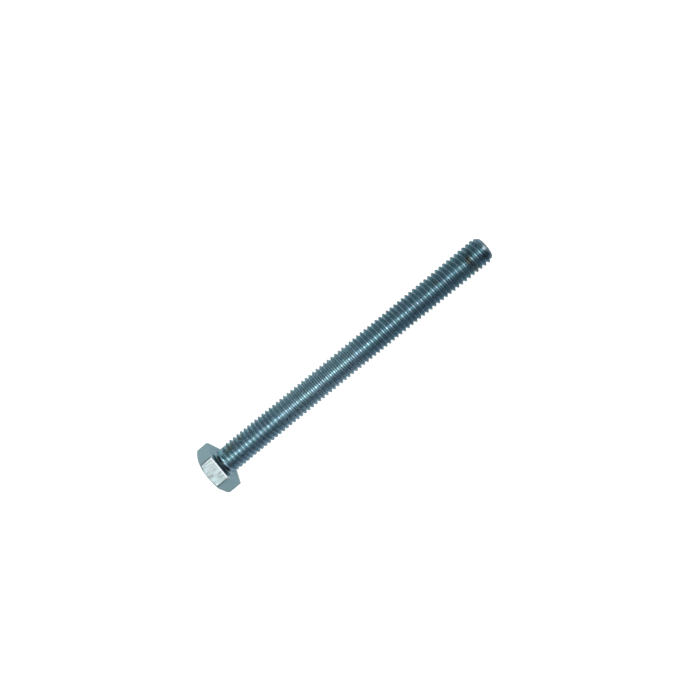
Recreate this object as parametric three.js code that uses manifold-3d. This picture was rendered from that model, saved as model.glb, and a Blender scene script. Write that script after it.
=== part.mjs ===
// Hex bolt, M6 x 70 with full-length thread, spanner size 10 mm. Millimetres, +Z up.
//
// The bolt lies level along +X. The origin is the centre of the head's flat top face, on the
// bolt's axis: the head runs from x = 0 to the bearing face, and the thread end points to +X.
// Two of the six flats face straight up and straight down.
//
// A real hex bolt is one piece of steel, cold-forged and thread-rolled, so the group holds one
// closed body: a hexagon head, a short plain neck and a right-hand helical thread.

import * as THREE from 'three';
import { mergeVertices } from 'three/addons/utils/BufferGeometryUtils.js';
import Module from 'manifold-3d';

const wasm = await Module();
wasm.setup();

// ---- Driving dimensions -------------------------------------------------------------------

const acrossFlats = 10;
const headHeight = 3.5;
const hexCornerRadius = 0.4;
const topCircleRadius = 4.8;
const headChamferAngle = THREE.MathUtils.degToRad(30);

const boltLength = 70.8; // bearing face to thread end
const pitch = 1;
const majorRadius = 2.97;
const minorRadius = 2.43;
const flankHalfAngle = THREE.MathUtils.degToRad(30);
const crestWidth = pitch / 8;

const neckRadius = 2.77; // rolling blank, left plain under the head
const neckFilletRadius = 0.45;
const neckLength = 1.2;
const runOutLength = 0.9;

const endFaceRadius = 2.15;
const endChamferLength = 1.1;
const endRimRadius = 0.35;

// Turn about +X, from +Y towards +Z, at which the crest's helix would cross the bearing plane.
const threadStartAngle = THREE.MathUtils.degToRad(-50);

// ---- Facet counts -------------------------------------------------------------------------

const threadSegmentsPerTurn = 16;
const roundSegments = 32;
const cornerSegments = 3;
const arcSegments = 3;

// ---- Solids helpers -----------------------------------------------------------------------

function solidFrom(geometry) {
  const bare = geometry.clone();
  bare.deleteAttribute('normal');
  bare.deleteAttribute('uv');
  const merged = mergeVertices(bare, 1e-5);
  const mesh = new wasm.Mesh({
    numProp: 3,
    vertProperties: new Float32Array(merged.attributes.position.array),
    triVerts: new Uint32Array(merged.index.array),
  });
  return new wasm.Manifold(mesh);
}

function geometryFrom(solid) {
  const mesh = solid.getMesh();
  const geometry = new THREE.BufferGeometry();
  geometry.setAttribute('position', new THREE.BufferAttribute(mesh.vertProperties, mesh.numProp));
  geometry.setIndex(new THREE.BufferAttribute(mesh.triVerts, 1));
  geometry.computeVertexNormals();
  return geometry;
}

// A solid of revolution about the bolt's axis. Each point is [distance along X, radius].
function turnedSolid(points, segments) {
  const profile = points.map(([along, radius]) => new THREE.Vector2(radius, along));
  const geometry = new THREE.LatheGeometry(profile, segments);
  geometry.rotateZ(-Math.PI / 2);
  return solidFrom(geometry);
}

// Points on an arc about [along, radius], for a turned profile.
function arcPoints(along, radius, arcRadius, startAngle, endAngle) {
  const points = [];
  for (let i = 0; i <= arcSegments; i += 1) {
    const angle = startAngle + ((endAngle - startAngle) * i) / arcSegments;
    points.push([along + arcRadius * Math.cos(angle), radius + arcRadius * Math.sin(angle)]);
  }
  return points;
}

// ---- Head ---------------------------------------------------------------------------------

// Hexagon outline with slightly rounded corners and its first flat facing up.
function hexagonOutline() {
  const cornerAcross = (acrossFlats / 2 - hexCornerRadius) / Math.cos(Math.PI / 6);
  const outline = new THREE.Shape();
  for (let corner = 0; corner < 6; corner += 1) {
    const angle = (corner * Math.PI) / 3;
    const centreX = cornerAcross * Math.cos(angle);
    const centreY = cornerAcross * Math.sin(angle);
    outline.absarc(centreX, centreY, hexCornerRadius, angle - Math.PI / 6, angle + Math.PI / 6, false);
  }
  outline.closePath();
  return outline;
}

function headSolid() {
  const prism = new THREE.ExtrudeGeometry(hexagonOutline(), {
    depth: headHeight,
    bevelEnabled: false,
    curveSegments: cornerSegments,
  });
  // The extrusion runs along +Z: turn it to +X, which leaves two flats facing up and down.
  prism.applyMatrix4(new THREE.Matrix4().set(0, 0, 1, 0, 1, 0, 0, 0, 0, 1, 0, 0, 0, 0, 0, 1));

  const widestRadius = acrossFlats;
  const chamferDepth = (widestRadius - topCircleRadius) * Math.tan(headChamferAngle);
  const chamferCone = turnedSolid(
    [
      [0, 0],
      [0, topCircleRadius],
      [chamferDepth, widestRadius],
      [headHeight + 1, widestRadius],
      [headHeight + 1, 0],
    ],
    roundSegments,
  );
  return solidFrom(prism).intersect(chamferCone);
}

// ---- Neck ---------------------------------------------------------------------------------

// Plain neck with a fillet at the bearing face and a taper down into the first thread grooves.
function neckSolid() {
  const filletCentre = headHeight + neckFilletRadius;
  const fillet = arcPoints(
    filletCentre,
    neckRadius + neckFilletRadius,
    neckFilletRadius,
    Math.PI,
    Math.PI * 1.5,
  );
  const neckEnd = headHeight + neckLength;
  return turnedSolid(
    [
      [headHeight / 2, 0],
      [headHeight / 2, neckRadius + neckFilletRadius],
      ...fillet,
      [neckEnd, neckRadius],
      [neckEnd + runOutLength, minorRadius - 0.05],
      [neckEnd + runOutLength, 0],
    ],
    roundSegments,
  );
}

// ---- Thread -------------------------------------------------------------------------------

// Axial offsets and radii across one pitch, from one groove's middle to the next one's.
function threadProfile() {
  const flankRun = (majorRadius - minorRadius) * Math.tan(flankHalfAngle);
  const halfCrest = crestWidth / 2;
  return [
    [-halfCrest - flankRun, minorRadius],
    [-halfCrest, majorRadius],
    [halfCrest, majorRadius],
    [halfCrest + flankRun, minorRadius],
    [pitch - halfCrest - flankRun, minorRadius],
  ];
}

// One continuous right-hand helical strip. The last profile point of each turn is the first one
// of the next turn, so only the two ends are open, and a fan from a point on the axis closes each.
function helicalSolid(turns) {
  const profile = threadProfile();
  const steps = turns * threadSegmentsPerTurn;
  const positions = [];
  const triangles = [];

  function pointAt(step, profileIndex) {
    const turn = step / threadSegmentsPerTurn;
    const angle = threadStartAngle + turn * 2 * Math.PI;
    const [offset, radius] = profile[profileIndex];
    return [headHeight + turn * pitch + offset, radius * Math.cos(angle), radius * Math.sin(angle)];
  }

  for (let step = 0; step <= steps; step += 1) {
    for (let i = 0; i < profile.length; i += 1) {
      positions.push(...pointAt(step, i));
    }
  }
  const index = (step, i) => step * profile.length + i;
  for (let step = 0; step < steps; step += 1) {
    for (let i = 0; i < profile.length - 1; i += 1) {
      triangles.push(index(step, i), index(step + 1, i + 1), index(step, i + 1));
      triangles.push(index(step, i), index(step + 1, i), index(step + 1, i + 1));
    }
  }

  const last = profile.length - 1;
  const startApex = positions.length / 3;
  positions.push(headHeight - pitch, 0, 0);
  const endApex = positions.length / 3;
  positions.push(headHeight + (turns + 1) * pitch, 0, 0);
  for (let step = 0; step < threadSegmentsPerTurn; step += 1) {
    triangles.push(startApex, index(step + 1, 0), index(step, 0));
    triangles.push(endApex, index(steps - step - 1, last), index(steps - step, last));
  }
  for (let i = 0; i < last; i += 1) {
    triangles.push(startApex, index(0, i), index(0, i + 1));
    triangles.push(endApex, index(steps, i + 1), index(steps, i));
  }

  const geometry = new THREE.BufferGeometry();
  geometry.setAttribute('position', new THREE.Float32BufferAttribute(positions, 3));
  geometry.setIndex(triangles);
  return solidFrom(geometry);
}

// The space that the thread may fill: it rises out of the neck, and the end is chamfered.
function threadEnvelope() {
  const endFace = headHeight + boltLength;
  const runOutStart = headHeight + neckLength;
  const rim = arcPoints(
    endFace - endRimRadius,
    endFaceRadius,
    endRimRadius,
    THREE.MathUtils.degToRad(58),
    0,
  );
  return turnedSolid(
    [
      [runOutStart - 0.5, 0],
      [runOutStart - 0.5, neckRadius - 0.02],
      [runOutStart, neckRadius - 0.02],
      [runOutStart + runOutLength, majorRadius + 0.1],
      [endFace - endChamferLength, majorRadius + 0.02],
      ...rim,
      [endFace, 0],
    ],
    roundSegments,
  );
}

function threadSolid() {
  const turns = Math.ceil(boltLength / pitch) + 1;
  return helicalSolid(turns).intersect(threadEnvelope());
}

// ---- Bolt ---------------------------------------------------------------------------------

const zincPlatedSteel = new THREE.MeshStandardMaterial({
  color: 0x8fa5ab,
  metalness: 1,
  roughness: 0.35,
});

const boltSolid = headSolid().add(neckSolid()).add(threadSolid());
const hexBolt = new THREE.Mesh(geometryFrom(boltSolid), zincPlatedSteel);
hexBolt.name = 'hex_bolt';

const group = new THREE.Group();
group.add(hexBolt);

export default group;
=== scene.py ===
# Hex bolt, M6 x 70: the visual model, its materials, and a plain light studio around it.
#
# Blender units are metres. The bolt lies along +X with the centre of its head's top face at the
# origin, and two of the hexagon's flats face straight up and straight down. Dimensions below are
# in millimetres, and mesh code works in millimetres until the mesh is made.

import math

import bpy
import numpy as np
from mathutils import Matrix, Vector


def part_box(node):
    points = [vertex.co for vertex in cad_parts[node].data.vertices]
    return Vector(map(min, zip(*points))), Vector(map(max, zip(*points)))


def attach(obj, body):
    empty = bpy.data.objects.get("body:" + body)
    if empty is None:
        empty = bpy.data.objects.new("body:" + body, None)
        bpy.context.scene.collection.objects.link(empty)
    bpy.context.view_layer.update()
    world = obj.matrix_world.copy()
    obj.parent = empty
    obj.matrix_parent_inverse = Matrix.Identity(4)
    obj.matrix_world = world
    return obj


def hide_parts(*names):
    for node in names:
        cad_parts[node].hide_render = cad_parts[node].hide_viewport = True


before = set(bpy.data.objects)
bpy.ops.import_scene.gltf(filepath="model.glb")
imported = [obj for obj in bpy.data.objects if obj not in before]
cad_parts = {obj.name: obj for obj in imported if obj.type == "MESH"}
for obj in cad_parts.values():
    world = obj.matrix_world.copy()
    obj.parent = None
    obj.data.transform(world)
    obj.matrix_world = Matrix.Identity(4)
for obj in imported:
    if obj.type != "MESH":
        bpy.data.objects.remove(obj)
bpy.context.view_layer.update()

MM = 0.001
NODE = "hex_bolt"
BODY = "root"

# ---- Dimensions in millimetres --------------------------------------------------------------

NODE_HIGH = np.array(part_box(NODE)[1]) / MM  # the node's highest corner

HALF_FLATS = NODE_HIGH[2]
END_X = NODE_HIGH[0]
HEAD_HEIGHT = 3.5
HEX_CORNER_RADIUS = 0.4
TOP_CIRCLE_RADIUS = 4.8
CHAMFER_OFFSET = -0.35  # the turned top edge is this far off the shank's axis, along Y
HEAD_CHAMFER_ANGLE = math.radians(30)
HEAD_EDGE_RADIUS = 0.12
TOP_EDGE_RADIUS = 0.25
TOP_FAN_RADIUS = 0.6 * TOP_CIRCLE_RADIUS  # of the fan of faces in the middle of the top face
BEARING_RING_RADIUS = 0.75 * HALF_FLATS  # of the head's last ring of points, on the bearing face

PITCH = 1.0
MAJOR_RADIUS = 2.99
MINOR_RADIUS = 2.48
FLANK_HALF_ANGLE = math.radians(30)
CREST_HALF_WIDTH = 0.095
CREST_EDGE_RADIUS = 0.12
START_ANGLE = math.radians(-50)  # where the crest's helix would cross the bearing plane
CREST_START = HEAD_HEIGHT - START_ANGLE / (2 * math.pi) * PITCH

NECK_RADIUS = 2.77
NECK_FILLET_RADIUS = 0.45
NECK_LENGTH = 0.6
RUN_OUT_LENGTH = 0.6
RUN_OUT_DELAY_Y = 0.45  # the thread starts this much later on the +Y side and sooner on the -Y side
RUN_OUT_DELAY_Z = 1.25  # the thread starts this much later on both sides than on top

END_CHAMFER_LENGTH = 1.1
END_CHAMFER_RADIUS = MAJOR_RADIUS + 0.02  # where the chamfer starts, just clear of the crests
END_FACE_RADIUS = 2.15
END_CORNER_RADIUS = END_FACE_RADIUS + 0.16  # where the chamfer and the face would meet in a sharp edge
END_RIM_RADIUS = 0.35  # of the arc that rounds that edge
FACE_STRETCH = 1.5  # spreads the last rows of points over the flat end face

# ---- Mesh density ---------------------------------------------------------------------------

COLUMNS = 72  # round the thread
CREST_POINTS = 2  # on half of a crest
FLANK_POINTS = 1
ROOT_POINTS = 3  # on half of a root
FIRST_ROW_GAP = 0.03  # from the neck's last ring to the first row of thread points
RIM_STEPS = 8  # round the edge of the end face
FLAT_COLUMNS = 14  # across one hexagon flat
CORNER_COLUMNS = 6  # round one hexagon corner
ARC_STEPS = 4
SIDE_SHARES = (0.03, 0.25, 0.5, 0.75, 0.97)  # rings along the head's side, close together at its ends


# ---- Mesh helpers ---------------------------------------------------------------------------

class MeshBuilder:
    """Collects rings of points, and the faces between them, for one closed mesh."""

    def __init__(self):
        self.points = []
        self.faces = []
        self.face_slots = []

    def add_points(self, points):
        first = len(self.points)
        self.points.extend(tuple(float(c) for c in p) for p in points)
        return list(range(first, len(self.points)))

    def add_face(self, corners, slot):
        self.faces.append(tuple(corners))
        self.face_slots.append(slot)

    def bridge(self, ring_a, ring_b, slot):
        """Quads between two closed rings with the same number of points."""
        self.strip([*ring_a, ring_a[0]], [*ring_b, ring_b[0]], slot)

    def strip(self, row_a, row_b, slot):
        """Quads between two rows of points, open at both ends."""
        for i in range(len(row_a) - 1):
            self.add_face((row_a[i], row_a[i + 1], row_b[i + 1], row_b[i]), slot)

    def stitch(self, ring_a, ring_b, slot):
        """Triangles between two rings round the axis with different numbers of points."""
        angles_a = self.ring_angles(ring_a)
        angles_b = self.ring_angles(ring_b)
        step_a = 0
        step_b = 0
        while step_a < len(ring_a) or step_b < len(ring_b):
            next_a = angles_a[step_a + 1] if step_a < len(ring_a) else math.inf
            next_b = angles_b[step_b + 1] if step_b < len(ring_b) else math.inf
            from_a = ring_a[step_a % len(ring_a)]
            from_b = ring_b[step_b % len(ring_b)]
            if next_a <= next_b:
                step_a += 1
                self.add_face((from_a, ring_a[step_a % len(ring_a)], from_b), slot)
            else:
                step_b += 1
                self.add_face((from_a, ring_b[step_b % len(ring_b)], from_b), slot)

    def ring_angles(self, ring):
        """Rising angles of a ring's points, with the first point's repeated a turn later."""
        raw = [math.atan2(self.points[i][2], self.points[i][1]) for i in ring]
        angles = list(np.unwrap(raw + [raw[0]]))
        angles[-1] = angles[0] + 2 * math.pi
        return angles

    def cap(self, ring, centre, slot, reverse):
        """A fan from one centre point to a ring."""
        (middle,) = self.add_points([centre])
        for first, second in zip(ring, [*ring[1:], ring[0]]):
            if reverse:
                first, second = second, first
            self.add_face((first, second, middle), slot)

    def build_object(self, name, materials):
        """The finished mesh as a smooth-shaded object, in metres."""
        mesh = bpy.data.meshes.new(name)
        scaled = [tuple(c * MM for c in p) for p in self.points]
        mesh.from_pydata(scaled, [], self.faces)
        for material in materials:
            mesh.materials.append(material)
        mesh.polygons.foreach_set("material_index", self.face_slots)
        mesh.polygons.foreach_set("use_smooth", [True] * len(mesh.polygons))
        mesh.update()
        made = bpy.data.objects.new(name, mesh)
        bpy.context.scene.collection.objects.link(made)
        return made


def round_point(along, radius, angle):
    """A point at an angle round the bolt's axis, measured from +Y towards +Z."""
    return (along, radius * math.cos(angle), radius * math.sin(angle))


def smoothstep(low, high, value):
    """0 up to low, 1 from high on, and a smooth rise between them."""
    t = np.clip((value - low) / (high - low), 0.0, 1.0)
    return t * t * (3 - 2 * t)


def turned(vector, angle):
    """A two-dimensional vector turned by an angle."""
    cosine = math.cos(angle)
    sine = math.sin(angle)
    return np.array([cosine * vector[0] - sine * vector[1], sine * vector[0] + cosine * vector[1]])


def fillet(before, corner, after, radius, steps):
    """Points of the arc that rounds a profile's corner, from the before side to the after side."""
    corner = np.array(corner, float)
    to_before = np.array(before, float) - corner
    to_after = np.array(after, float) - corner
    to_before /= np.linalg.norm(to_before)
    to_after /= np.linalg.norm(to_after)
    half = math.acos(np.clip(to_before @ to_after, -1, 1)) / 2
    middle = (to_before + to_after) / np.linalg.norm(to_before + to_after)
    centre = corner + middle * radius / math.sin(half)
    start = corner + to_before * radius / math.tan(half) - centre
    end = corner + to_after * radius / math.tan(half) - centre
    sweep = math.atan2(start[0] * end[1] - start[1] * end[0], start @ end)
    return [centre + turned(start, sweep * i / steps) for i in range(steps + 1)]


# ---- Head -----------------------------------------------------------------------------------

def hexagon_columns():
    """Angle and radius of each column of points round the hexagon, corners rounded."""
    inner = HALF_FLATS - HEX_CORNER_RADIUS
    half_side = inner * math.tan(math.pi / 6)
    columns = []
    for side in range(6):
        normal = math.pi / 6 + side * math.pi / 3
        outward = np.array([math.cos(normal), math.sin(normal)])
        across = np.array([-outward[1], outward[0]])
        for i in range(FLAT_COLUMNS):
            share = -math.cos(math.pi * i / (FLAT_COLUMNS - 1))
            columns.append(outward * HALF_FLATS + across * half_side * share)
        corner = outward * inner + across * half_side
        for i in range(1, CORNER_COLUMNS):
            turn = normal + (math.pi / 3) * i / CORNER_COLUMNS
            columns.append(corner + HEX_CORNER_RADIUS * np.array([math.cos(turn), math.sin(turn)]))
    return [(math.atan2(c[1], c[0]), math.hypot(*c)) for c in columns]


def head_profile(angle, radius):
    """[along, radius] points from the top face, over the chamfer and side, to the bearing face."""
    across = CHAMFER_OFFSET * math.sin(angle)
    turned_radius = CHAMFER_OFFSET * math.cos(angle) + math.sqrt(TOP_CIRCLE_RADIUS**2 - across**2)
    top_radius = min(turned_radius, radius - (HALF_FLATS - TOP_CIRCLE_RADIUS))
    chamfer_end = (radius - top_radius) * math.tan(HEAD_CHAMFER_ANGLE)
    top = (0.0, TOP_FAN_RADIUS)
    top_edge = (0.0, top_radius)
    chamfer_edge = (chamfer_end, radius)
    bearing_edge = (HEAD_HEIGHT, radius)
    bearing = (HEAD_HEIGHT, BEARING_RING_RADIUS)
    points = [np.array(top)]
    points += fillet(top, top_edge, chamfer_edge, TOP_EDGE_RADIUS, ARC_STEPS)
    side_start = fillet(top_edge, chamfer_edge, bearing_edge, HEAD_EDGE_RADIUS, ARC_STEPS)
    side_end = fillet(chamfer_edge, bearing_edge, bearing, HEAD_EDGE_RADIUS, ARC_STEPS)
    points += side_start
    for share in SIDE_SHARES:
        points.append(side_start[-1] * (1 - share) + side_end[0] * share)
    points += side_end
    points.append(np.array(bearing))
    return points


def build_head(builder, slots):
    """Adds the head, open inside its bearing face, and returns the open ring there."""
    columns = hexagon_columns()
    profiles = [head_profile(angle, radius) for angle, radius in columns]
    rings = []
    for step in range(len(profiles[0])):
        ring = [round_point(*p[step], angle) for (angle, _), p in zip(columns, profiles)]
        rings.append(builder.add_points(ring))
    builder.cap(rings[0], (0.0, 0.0, 0.0), slots["top"], reverse=True)
    first_side = 1 + (ARC_STEPS + 1)
    last_side = first_side + 2 * (ARC_STEPS + 1) + len(SIDE_SHARES) - 1
    for step in range(len(rings) - 1):
        if step < first_side:
            slot = slots["top"]
        elif step < last_side:
            slot = slots["flats"]
        else:
            slot = slots["bearing"]
        builder.bridge(rings[step], rings[step + 1], slot)
    return rings[-1]


# ---- Neck -----------------------------------------------------------------------------------

def build_neck(builder, bearing_ring, slots):
    """Adds the bearing face's inner part, the fillet and the neck, and returns the last ring."""
    bearing = (HEAD_HEIGHT, NECK_RADIUS + 2 * NECK_FILLET_RADIUS)
    corner = (HEAD_HEIGHT, NECK_RADIUS)
    neck_end = (HEAD_HEIGHT + NECK_LENGTH, NECK_RADIUS)
    profile = fillet(bearing, corner, neck_end, NECK_FILLET_RADIUS, ARC_STEPS)
    angles = [2 * math.pi * i / COLUMNS for i in range(COLUMNS)]
    rings = []
    for along, radius in [*profile, neck_end]:
        rings.append(builder.add_points(round_point(along, radius, angle) for angle in angles))
    builder.stitch(bearing_ring, rings[0], slots["bearing"])
    for step in range(len(rings) - 1):
        builder.bridge(rings[step], rings[step + 1], slots["bearing"])
    return rings[-1]


# ---- Thread ---------------------------------------------------------------------------------

def thread_outline():
    """Distance from a crest's middle, and radius: crest, flank, round root and next flank."""
    sharp_depth = (PITCH / 2 - CREST_HALF_WIDTH) / math.tan(FLANK_HALF_ANGLE)
    crest = (0.0, MAJOR_RADIUS)
    crest_edge = (CREST_HALF_WIDTH, MAJOR_RADIUS)
    sharp_root = (PITCH / 2, MAJOR_RADIUS - sharp_depth)
    next_crest_edge = (PITCH - CREST_HALF_WIDTH, MAJOR_RADIUS)
    root_radius = (MINOR_RADIUS - sharp_root[1]) / (1 / math.sin(FLANK_HALF_ANGLE) - 1)
    edge = fillet(crest, crest_edge, sharp_root, CREST_EDGE_RADIUS, CREST_POINTS)
    root = fillet(crest_edge, sharp_root, next_crest_edge, root_radius, 2 * ROOT_POINTS)
    half = [np.array(crest), *edge]
    for i in range(1, FLANK_POINTS + 1):
        share = i / (FLANK_POINTS + 1)
        half.append(edge[-1] * (1 - share) + root[0] * share)
    half += root[: ROOT_POINTS + 1]
    half = np.array(half)
    other_half = half[-2:0:-1] * [-1, 1] + [PITCH, 0]
    return np.concatenate([half, other_half])


def end_outline(distance):
    """Along and radius of the turned end, at a distance past the chamfer's start.

    On the chamfer the distance is measured along the axis, past it along the outline, and on the
    flat face it is stretched as well.
    """
    chamfer_start = np.array([END_X - END_CHAMFER_LENGTH, END_CHAMFER_RADIUS])
    corner = np.array([END_X, END_CORNER_RADIUS])
    face_centre = np.array([END_X, 0.0])
    rim = fillet(chamfer_start, corner, face_centre, END_RIM_RADIUS, RIM_STEPS)
    outline = np.array([chamfer_start, *rim, face_centre])
    steps = np.linalg.norm(np.diff(outline, axis=0), axis=1)
    steps[0] = outline[1, 0] - outline[0, 0]
    steps[-1] *= FACE_STRETCH
    distances = np.concatenate([[0], np.cumsum(steps)])
    along = np.interp(distance, distances, outline[:, 0])
    radius = np.interp(distance, distances, outline[:, 1])
    return along, radius


def thread_row(raw, angles, outline):
    """Along and radius of one row of points: grown out of the neck, cut by the end chamfer."""
    past_chamfer = np.maximum(raw - (END_X - END_CHAMFER_LENGTH), 0)
    end_along, end_radius = end_outline(past_chamfer)
    along = np.where(past_chamfer > 0, end_along, raw)
    turn = (along - CREST_START) / PITCH - angles / (2 * math.pi)
    whole_outline = np.vstack([outline, [PITCH, outline[0, 1]]])
    radius = np.interp((turn % 1.0) * PITCH, whole_outline[:, 0], whole_outline[:, 1])
    start = HEAD_HEIGHT + NECK_LENGTH
    start += RUN_OUT_DELAY_Y * np.cos(angles)
    start += RUN_OUT_DELAY_Z * (1 - np.sin(angles))
    grown = smoothstep(0, RUN_OUT_LENGTH, along - start)
    radius = NECK_RADIUS + (radius - NECK_RADIUS) * grown
    radius = np.where(past_chamfer > 0, np.minimum(radius, end_radius), radius)
    return along, radius


def build_thread(builder, neck_ring, slots):
    """Adds the helical thread and the flat end face, from the neck's last ring.

    Rows follow the helix, so a row's last column meets the first column of the row one pitch on.
    The last rows run on past the chamfer and in over the end face.
    """
    outline = thread_outline()
    per_pitch = len(outline)
    angles = np.arange(COLUMNS) * 2 * math.pi / COLUMNS
    first_along = HEAD_HEIGHT + NECK_LENGTH + FIRST_ROW_GAP
    last_along = END_X + END_FACE_RADIUS / 2
    first_row = math.ceil((first_along - CREST_START) / PITCH * per_pitch)
    last_turn = math.ceil((last_along - CREST_START) / PITCH)
    rows = last_turn * per_pitch - first_row

    grid = []
    for row in range(first_row, first_row + rows + 1):
        turn, point = divmod(row, per_pitch)
        raw = CREST_START + turn * PITCH + outline[point, 0] + angles / (2 * math.pi) * PITCH
        along, radius = thread_row(raw, angles, outline)
        grid.append(builder.add_points(map(round_point, along, radius, angles)))

    thread = slots["thread"]
    builder.strip(neck_ring, grid[0], thread)
    for row, (below, above) in enumerate(zip(grid, grid[1:])):
        builder.strip(below, above, thread)
        if row + 1 + per_pitch <= rows:
            next_turn, after = grid[row + per_pitch][0], grid[row + 1 + per_pitch][0]
            builder.add_face((below[-1], next_turn, after, above[-1]), thread)

    # The helix leaves a step one pitch high in the seam at each end of the thread.
    seam = [neck_ring[-1], neck_ring[0], *(grid[row][0] for row in range(per_pitch + 1))]
    for low, high in zip(seam, seam[1:]):
        builder.add_face((grid[0][-1], low, high), thread)
    for row in range(rows - per_pitch, rows):
        builder.add_face((grid[row][-1], grid[rows][0], grid[row + 1][-1]), thread)
    builder.cap(grid[rows], (END_X, 0.0, 0.0), thread, reverse=False)


# ---- Materials ------------------------------------------------------------------------------

class NodeTree:
    """Short calls for the nodes of a material or of the world."""

    def __init__(self, tree):
        self.tree = tree

    def feed(self, socket, value):
        if isinstance(value, bpy.types.NodeSocket):
            self.tree.links.new(value, socket)
        elif value is not None:
            socket.default_value = value

    def split(self, vector):
        made = self.tree.nodes.new("ShaderNodeSeparateXYZ")
        self.feed(made.inputs[0], vector)
        return made.outputs

    def between(self, value, low, high, to_low=0.0, to_high=1.0):
        """A smooth change from to_low to to_high while the value goes from low to high."""
        made = self.tree.nodes.new("ShaderNodeMapRange")
        made.interpolation_type = "SMOOTHSTEP"
        self.feed(made.inputs["Value"], value)
        limits = {"From Min": low, "From Max": high, "To Min": to_low, "To Max": to_high}
        for name, limit in limits.items():
            made.inputs[name].default_value = limit
        return made.outputs["Result"]

    def mix(self, share, a, b):
        """Colour a where the share is 0, and colour b where it is 1."""
        made = self.tree.nodes.new("ShaderNodeMix")
        made.data_type = "RGBA"
        self.feed(made.inputs["Factor"], share)
        self.feed(made.inputs["A"], a)
        self.feed(made.inputs["B"], b)
        return made.outputs["Result"]

    def math(self, operation, a, b):
        made = self.tree.nodes.new("ShaderNodeMath")
        made.operation = operation
        self.feed(made.inputs[0], a)
        self.feed(made.inputs[1], b)
        return made.outputs[0]

    def vector_math(self, operation, a, b=None):
        made = self.tree.nodes.new("ShaderNodeVectorMath")
        made.operation = operation
        self.feed(made.inputs[0], a)
        self.feed(made.inputs[1], b)
        return made.outputs


class Shader(NodeTree):
    """A material of one Principled surface, whose nodes work on places in millimetres."""

    def __init__(self, name):
        self.material = bpy.data.materials.new(name)
        self.material.use_nodes = True
        super().__init__(self.material.node_tree)
        self.surface = self.tree.nodes["Principled BSDF"]
        coordinates = self.tree.nodes.new("ShaderNodeTexCoord")
        self.place = self.stretched(coordinates.outputs["Object"], (1 / MM,) * 3)

    def stretched(self, vector, factors):
        """The vector with each axis multiplied by its own factor."""
        return self.vector_math("MULTIPLY", vector, factors)["Vector"]

    def radius(self):
        """Distance from the bolt's axis."""
        return self.vector_math("LENGTH", self.stretched(self.place, (0, 1, 1)))["Value"]

    def noise(self, stretch, scale, detail=3.0, roughness=0.5):
        """Noise between 0 and 1, squeezed by stretch along each axis."""
        made = self.tree.nodes.new("ShaderNodeTexNoise")
        self.feed(made.inputs["Vector"], self.stretched(self.place, stretch))
        made.inputs["Scale"].default_value = scale
        made.inputs["Detail"].default_value = detail
        made.inputs["Roughness"].default_value = roughness
        return made.outputs["Fac"]

    def spot(self, centre, radius, strength, uneven):
        """Full strength near a point, 0 past about the radius, with an uneven edge."""
        distance = self.vector_math("DISTANCE", self.place, centre)["Value"]
        ragged = self.math("ADD", distance, self.math("MULTIPLY", uneven, radius))
        return self.between(ragged, SPOT_FADE * radius, radius, 0.0, strength)

    def bump(self, height, distance, normal=None):
        """Bump from a height of 0 to 1, over a distance in millimetres."""
        made = self.tree.nodes.new("ShaderNodeBump")
        made.inputs["Distance"].default_value = distance * MM
        self.feed(made.inputs["Height"], height)
        self.feed(made.inputs["Normal"], normal)
        return made.outputs["Normal"]

    def finish(self, colour, roughness, normal):
        """Feeds the surface, as plated metal, and returns the material."""
        self.feed(self.surface.inputs["Base Color"], colour)
        self.feed(self.surface.inputs["Roughness"], roughness)
        self.feed(self.surface.inputs["Normal"], normal)
        self.surface.inputs["Metallic"].default_value = 1.0
        self.surface.inputs["Specular Tint"].default_value = EDGE_TINT
        return self.material


# Colours of the zinc, its passivation, its wear and its dirt, and of painted highlights and shade.
TEAL = (0.183, 0.27, 0.30, 1)
STEEL_BLUE = (0.195, 0.27, 0.325, 1)
DEEP_TEAL = (0.17, 0.25, 0.275, 1)
GREY_ZINC = (0.103, 0.117, 0.128, 1)
THREAD_TEAL = (0.156, 0.312, 0.356, 1)
THREAD_BLUE = (0.162, 0.292, 0.380, 1)
GROOVE_TEAL = (0.218, 0.326, 0.374, 1)
GROOVE_BLUE = (0.228, 0.312, 0.384, 1)
# a dark violet grey for the painted shade on the thread's -Y side
SHADE_VIOLET_GREY = (0.130, 0.190, 0.275, 1)
DARK_BLUE = (0.01, 0.05, 0.075, 1)
# pale zinc for a painted sheen on the crests
PAINTED_CREST_SHEEN = (0.15, 0.228, 0.248, 1)
# pale zinc for painted highlights
PAINTED_HIGHLIGHT = (0.60, 0.68, 0.71, 1)
OLIVE_BROWN = (0.10, 0.095, 0.06, 1)
DARK_BROWN = (0.04, 0.036, 0.026, 1)
# dark residue for stains, and painted shade by the neck
RESIDUE_AND_SHADE = (0.02, 0.028, 0.034, 1)
EDGE_TINT = (0.55, 0.66, 0.70, 1)  # a passivated surface stays coloured when seen edge-on

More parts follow.
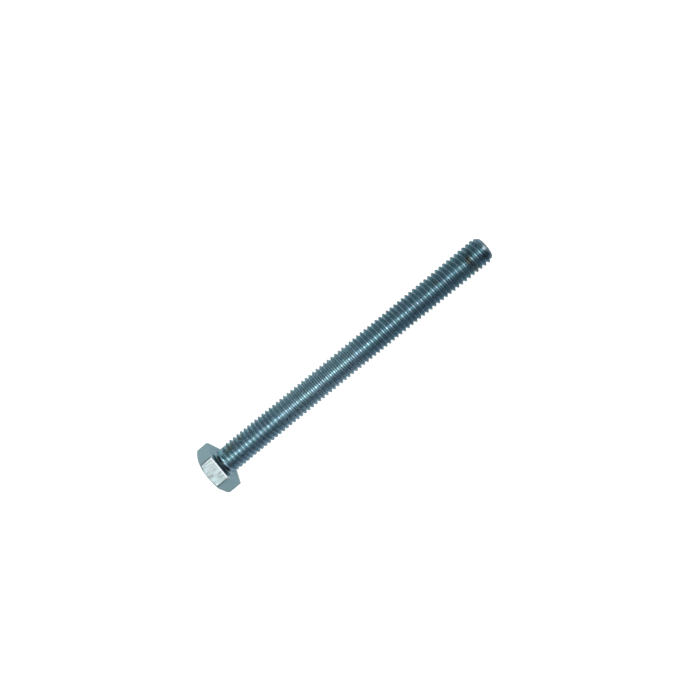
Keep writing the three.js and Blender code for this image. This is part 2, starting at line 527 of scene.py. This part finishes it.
# Stains, painted shade and a painted highlight on the thread: centre and radius in millimetres, tint
# and strength.
THREAD_STAINS = (
    # painted shade round the top of the neck, going on from the head's underside
    ((4.05, 0.4, 2.75), 0.5, RESIDUE_AND_SHADE, 0.9),
    ((6.9, 2.0, 2.1), 1.0, OLIVE_BROWN, 0.6),
    ((8.0, 2.0, 2.1), 0.9, OLIVE_BROWN, 0.4),
    ((10.0, 2.2, 1.9), 0.8, OLIVE_BROWN, 0.5),
    ((61.8, 1.0, 2.7), 0.6, OLIVE_BROWN, 0.4),
    ((69.7, 0.3, 2.8), 0.8, DARK_BROWN, 0.8),
    ((69.8, -0.9, 2.7), 0.8, DARK_BROWN, 0.6),
    ((69.9, -2.2, 1.8), 0.9, OLIVE_BROWN, 0.6),
    ((70.6, 1.3, 2.5), 0.8, RESIDUE_AND_SHADE, 0.55),
    ((73.2, -1.4, 2.1), 1.1, RESIDUE_AND_SHADE, 0.5),
    # painted highlight on the end chamfer
    ((73.8, 0.2, 2.6), 0.6, PAINTED_HIGHLIGHT, 0.2),
)
SPOT_FADE = 1.7  # a stain has faded out at this many radii, counted with the noise on its edge


def scaled(colour, factor):
    """The colour made darker or paler by a factor."""
    return (*(c * factor for c in colour[:3]), 1)


def drifting_tint(shader, low_tint, high_tint):
    """The passivation's slow drift between two tints."""
    drift = shader.noise((0.6, 1, 1), 0.35, detail=4.0)
    return shader.mix(shader.between(drift, 0.35, 0.65), low_tint, high_tint)


def top_flat_tint(shader, place, mottle):
    """Mottled grey zinc, darker near the head's top face and towards -Y."""
    blotches = shader.between(mottle, 0.36, 0.64)
    near_top_face = shader.between(place["X"], 1.8, 0.4, 0.0, 0.75)
    towards_minus_y = shader.between(place["Y"], 1.0, -1.2, 0.0, 0.7)
    tint = shader.mix(blotches, scaled(GREY_ZINC, 0.68), scaled(GREY_ZINC, 1.32))
    tint = shader.mix(near_top_face, tint, scaled(GREY_ZINC, 0.7))
    return shader.mix(towards_minus_y, tint, scaled(GREY_ZINC, 0.75))


def flats_material():
    """The trimmed flats: satin zinc with drag marks along the bolt.

    They get painted shade, a little darker, towards -Y. The flat on top is greyer and mottled, and
    its edge at the bearing face has a painted highlight.
    """
    shader = Shader("zinc_flats")
    place = shader.split(shader.place)
    mottle = shader.noise((0.7, 1, 1), 5.0, detail=5.0, roughness=0.7)
    streaks = shader.noise((0.12, 1, 1), 5.0, detail=4.0, roughness=0.65)

    on_top_flat = shader.between(place["Z"], HALF_FLATS - 0.20, HALF_FLATS - 0.05)
    at_bearing_edge = shader.between(place["X"], HEAD_HEIGHT - 0.4, HEAD_HEIGHT - 0.2)
    # painted shade: the flats grow darker towards -Y
    towards_minus_y = shader.between(place["Y"], 1.0, -3.0, 0.0, 0.3)
    drag_marks = shader.between(streaks, 0.62, 0.45, 0.0, 0.4)

    colour = shader.mix(on_top_flat, TEAL, GREY_ZINC)
    mottled = shader.math("MULTIPLY", on_top_flat, 0.9)
    colour = shader.mix(mottled, colour, top_flat_tint(shader, place, mottle))
    colour = shader.mix(towards_minus_y, colour, scaled(TEAL, 0.5))
    colour = shader.mix(drag_marks, colour, scaled(TEAL, 0.85))
    # painted highlight along the top flat's edge at the bearing face
    painted_edge_highlight = shader.math("MULTIPLY", at_bearing_edge, on_top_flat)
    colour = shader.mix(painted_edge_highlight, colour, scaled(GREY_ZINC, 1.85))

    roughness = shader.between(streaks, 0.3, 0.7, 0.30, 0.45)
    normal = shader.bump(streaks, 0.006)
    normal = shader.bump(mottle, 0.012, normal)
    return shader.finish(colour, roughness, normal)


def forged_material():
    """The head's top face and chamfer: smoother, with a faint grain."""
    shader = Shader("zinc_forged")
    colour = drifting_tint(shader, scaled(TEAL, 0.72), scaled(STEEL_BLUE, 0.72))
    grain = shader.noise((1, 1, 1), 8.0, detail=4.0)
    roughness = shader.between(grain, 0.3, 0.7, 0.22, 0.36)
    return shader.finish(colour, roughness, shader.bump(grain, 0.004))


def bearing_material():
    """The forged underside of the head, and the neck.

    The underside has a painted highlight beside the flat on top, and the corner round the top of
    the neck has painted shade, nearly black.
    holds dark residue.
    """
    shader = Shader("zinc_bearing_face")
    place = shader.split(shader.place)
    # painted highlight on the underside beside the flat on top
    beside_top_flat = shader.between(place["Z"], HALF_FLATS - 1.1, HALF_FLATS - 0.5, 0.0, 0.85)
    past_bearing_face = shader.between(place["X"], HEAD_HEIGHT + 0.04, HEAD_HEIGHT + 0.20)
    on_top = shader.between(place["Z"], 1.2, 2.3)

    colour = drifting_tint(shader, DEEP_TEAL, STEEL_BLUE)
    colour = shader.mix(beside_top_flat, colour, PAINTED_HIGHLIGHT)
    # painted shade in the corner round the top of the neck
    shaded_top_corner = shader.math("MULTIPLY", past_bearing_face, on_top)
    colour = shader.mix(shaded_top_corner, colour, scaled(RESIDUE_AND_SHADE, 0.5))

    grain = shader.noise((1, 1, 1), 6.0, detail=4.0)
    roughness = shader.between(grain, 0.3, 0.7, 0.22, 0.34)
    return shader.finish(colour, roughness, shader.bump(grain, 0.004))


def crest_tint(shader, along):
    """Dull crests, with a painted pale sheen between about 20 and 41 mm along the bolt."""
    dull = scaled(THREAD_TEAL, 0.42)
    tint = shader.mix(shader.between(along, 17.0, 23.0), dull, PAINTED_CREST_SHEEN)
    return shader.mix(shader.between(along, 38.0, 44.0), tint, dull)


def thread_material():
    """The rolled thread: bright grooves, dull crests and rolling marks round the axis.

    It has painted shade, tinted violet, on the -Y side and darkens towards the end. It has stains
    in places, painted shade by the neck and a painted highlight on the end chamfer.
    """
    shader = Shader("zinc_thread")
    place = shader.split(shader.place)
    radius = shader.radius()
    uneven = shader.noise((0.9, 0.5, 0.5), 1.1, detail=3.0)

    in_groove = shader.between(radius, MINOR_RADIUS + 0.26, MINOR_RADIUS + 0.08)
    on_crest = shader.between(radius, MAJOR_RADIUS - 0.15, MAJOR_RADIUS - 0.05, 0.0, 0.9)
    # painted shade, tinted violet, on the -Y side
    shaded_minus_y_side = shader.between(place["Y"], -0.1, -2.0, 0.0, 0.65)
    towards_end = shader.between(place["X"], 30.0, 72.0, 0.0, 0.30)
    at_end = shader.between(place["X"], END_X - 1.7, END_X - 0.9, 0.0, 0.25)
    clouds = shader.between(uneven, 0.42, 0.60, 0.18, 0.0)

    colour = drifting_tint(shader, THREAD_TEAL, THREAD_BLUE)
    colour = shader.mix(in_groove, colour, drifting_tint(shader, GROOVE_TEAL, GROOVE_BLUE))
    colour = shader.mix(shaded_minus_y_side, colour, SHADE_VIOLET_GREY)
    colour = shader.mix(on_crest, colour, crest_tint(shader, place["X"]))
    colour = shader.mix(towards_end, colour, DARK_BLUE)
    colour = shader.mix(at_end, colour, RESIDUE_AND_SHADE)
    colour = shader.mix(clouds, colour, RESIDUE_AND_SHADE)
    for centre, size, tint, strength in THREAD_STAINS:
        colour = shader.mix(shader.spot(centre, size, strength, uneven), colour, tint)

    rolling = shader.noise((1, 0.12, 0.12), 16.0, detail=3.0)
    patches = shader.noise((1, 1, 1), 1.3, detail=3.0)
    roughness = shader.between(patches, 0.3, 0.7, 0.24, 0.36)
    normal = shader.bump(rolling, 0.002)
    normal = shader.bump(patches, 0.010, normal)
    return shader.finish(colour, roughness, normal)


# ---- Bolt -----------------------------------------------------------------------------------

def build_bolt():
    """The bolt as one closed mesh, which stands for the CAD node."""
    materials = {
        "top": forged_material(),
        "flats": flats_material(),
        "bearing": bearing_material(),
        "thread": thread_material(),
    }
    slots = {name: i for i, name in enumerate(materials)}
    builder = MeshBuilder()
    bearing_ring = build_head(builder, slots)
    neck_ring = build_neck(builder, bearing_ring, slots)
    build_thread(builder, neck_ring, slots)
    bolt = builder.build_object("hex_bolt_body", materials.values())
    even_shading = bolt.modifiers.new("even shading", "WEIGHTED_NORMAL")
    even_shading.keep_sharp = False
    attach(bolt, BODY)
    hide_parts(NODE)
    return bolt


# ---- Studio ---------------------------------------------------------------------------------

# The studio is in metres.
CAMERA_PLACE = Vector((0.04338, 0.00455, 0.15486))
CAMERA_TARGET = Vector((0.02705, 0.00142, 0.0))
CAMERA_ROLL = math.radians(-39.71)
CAMERA_LENS = 37.88  # with the sensor's width, in millimetres
SENSOR_WIDTH = 36.0
CAMERA_SHIFT = (0.066, 0.0547)
NEAREST_SEEN = 0.01

FLOOR_SIZE = 3.0
FLOOR_DROP = 0.00002  # keeps the floor just clear of the bolt
FLOOR_COLOUR = (0.4, 0.4, 0.4, 1)
FLOOR_ROUGHNESS = 0.9
FLOOR_REFLECTION = 0.1
FLOOR_GLOW = 0.68  # lifts the floor to nearly white
WHITE = (1, 1, 1, 1)

LIGHT_COLOUR = (1.0, 0.92, 0.84)

# Soft boxes that face straight down: name, place, size, radiance and turn about the vertical.
LIGHTS = (
    ("strip", (0.04, 0.022, 0.50), (0.9, 0.15), 8.4, math.radians(9)),
    ("fill", (0.04, 0.40, 0.50), (0.9, 0.16), 1.1, 0.0),
    ("soft_box", (0.04, -0.09, 0.52), (0.9, 0.28), 1.0, 0.0),
)

ROOM_COLOUR = (0.72, 0.76, 0.78, 1)
DARK_SIDE_COLOUR = (0.06, 0.08, 0.10, 1)
DARK_SIDE_FADE = (-0.70, -0.85)  # Y of the directions where the room turns into the dark side
HORIZON_COLOUR = (0.85, 0.86, 0.87, 1)
HORIZON_FADE = (0.38, 0.29)  # Z of the directions where the room turns into the horizon


def build_camera():
    """Above the bolt and a little towards its end, which points up to the right in the frame."""
    data = bpy.data.cameras.new("camera")
    data.lens = CAMERA_LENS
    data.sensor_width = SENSOR_WIDTH
    data.shift_x, data.shift_y = CAMERA_SHIFT
    data.clip_start = NEAREST_SEEN
    camera = bpy.data.objects.new("camera", data)
    bpy.context.scene.collection.objects.link(camera)
    towards = (CAMERA_TARGET - CAMERA_PLACE).normalized()
    backward = -towards
    level_right = Vector((0, 1, 0)).cross(backward).normalized()
    level_up = backward.cross(level_right)
    aim = Matrix((level_right, level_up, backward)).transposed().to_4x4()
    roll = Matrix.Rotation(CAMERA_ROLL, 4, "Z")
    camera.matrix_world = Matrix.Translation(CAMERA_PLACE) @ aim @ roll
    bpy.context.scene.camera = camera


def build_floor():
    """A pale table top, touching the head's lowest edge and the thread's end, as the bolt lies."""
    head_contact = Vector((HEAD_HEIGHT * MM, 0, -HALF_FLATS * MM))
    end_contact = Vector(((END_X - END_CHAMFER_LENGTH) * MM, 0, -MAJOR_RADIUS * MM))
    slope = math.atan2(end_contact.z - head_contact.z, end_contact.x - head_contact.x)
    half = FLOOR_SIZE / 2
    mesh = bpy.data.meshes.new("floor")
    corners = [(-half, -half, 0), (half, -half, 0), (half, half, 0), (-half, half, 0)]
    mesh.from_pydata(corners, [], [(0, 1, 2, 3)])
    floor = bpy.data.objects.new("floor", mesh)
    bpy.context.scene.collection.objects.link(floor)
    drop = Vector((0, 0, -FLOOR_DROP))
    floor.matrix_world = Matrix.Translation(head_contact + drop) @ Matrix.Rotation(-slope, 4, "Y")
    material = bpy.data.materials.new("pale_floor")
    material.use_nodes = True
    surface = material.node_tree.nodes["Principled BSDF"]
    surface.inputs["Base Color"].default_value = FLOOR_COLOUR
    surface.inputs["Roughness"].default_value = FLOOR_ROUGHNESS
    surface.inputs["Specular IOR Level"].default_value = FLOOR_REFLECTION
    surface.inputs["Emission Color"].default_value = WHITE
    surface.inputs["Emission Strength"].default_value = FLOOR_GLOW
    mesh.materials.append(material)


def build_light(name, place, size, radiance, turn):
    """A rectangular soft box facing straight down, with the same radiance whatever its size."""
    data = bpy.data.lights.new(name, "AREA")
    data.shape = "RECTANGLE"
    data.size, data.size_y = size
    data.energy = radiance * math.pi * size[0] * size[1]
    data.color = LIGHT_COLOUR
    light = bpy.data.objects.new(name, data)
    bpy.context.scene.collection.objects.link(light)
    light.location = place
    light.rotation_euler = (0, 0, turn)


def build_lights():
    """A long strip nearly in line with the bolt, and a weaker box on each side of it."""
    for light in LIGHTS:
        build_light(*light)


def build_world():
    """A soft pale room that is dark on one side, above the horizon."""
    world = bpy.data.worlds.new("studio")
    world.use_nodes = True
    nodes = NodeTree(world.node_tree)
    coordinates = nodes.tree.nodes.new("ShaderNodeTexCoord")
    direction = nodes.split(coordinates.outputs["Generated"])
    dark_side = nodes.between(direction["Y"], *DARK_SIDE_FADE)
    horizon = nodes.between(direction["Z"], *HORIZON_FADE)
    colour = nodes.mix(dark_side, ROOM_COLOUR, DARK_SIDE_COLOUR)
    colour = nodes.mix(horizon, colour, HORIZON_COLOUR)
    nodes.feed(nodes.tree.nodes["Background"].inputs["Color"], colour)
    bpy.context.scene.world = world


def main():
    bpy.context.scene.view_settings.view_transform = "Standard"
    build_camera()
    build_bolt()
    build_floor()
    build_lights()
    build_world()


main()
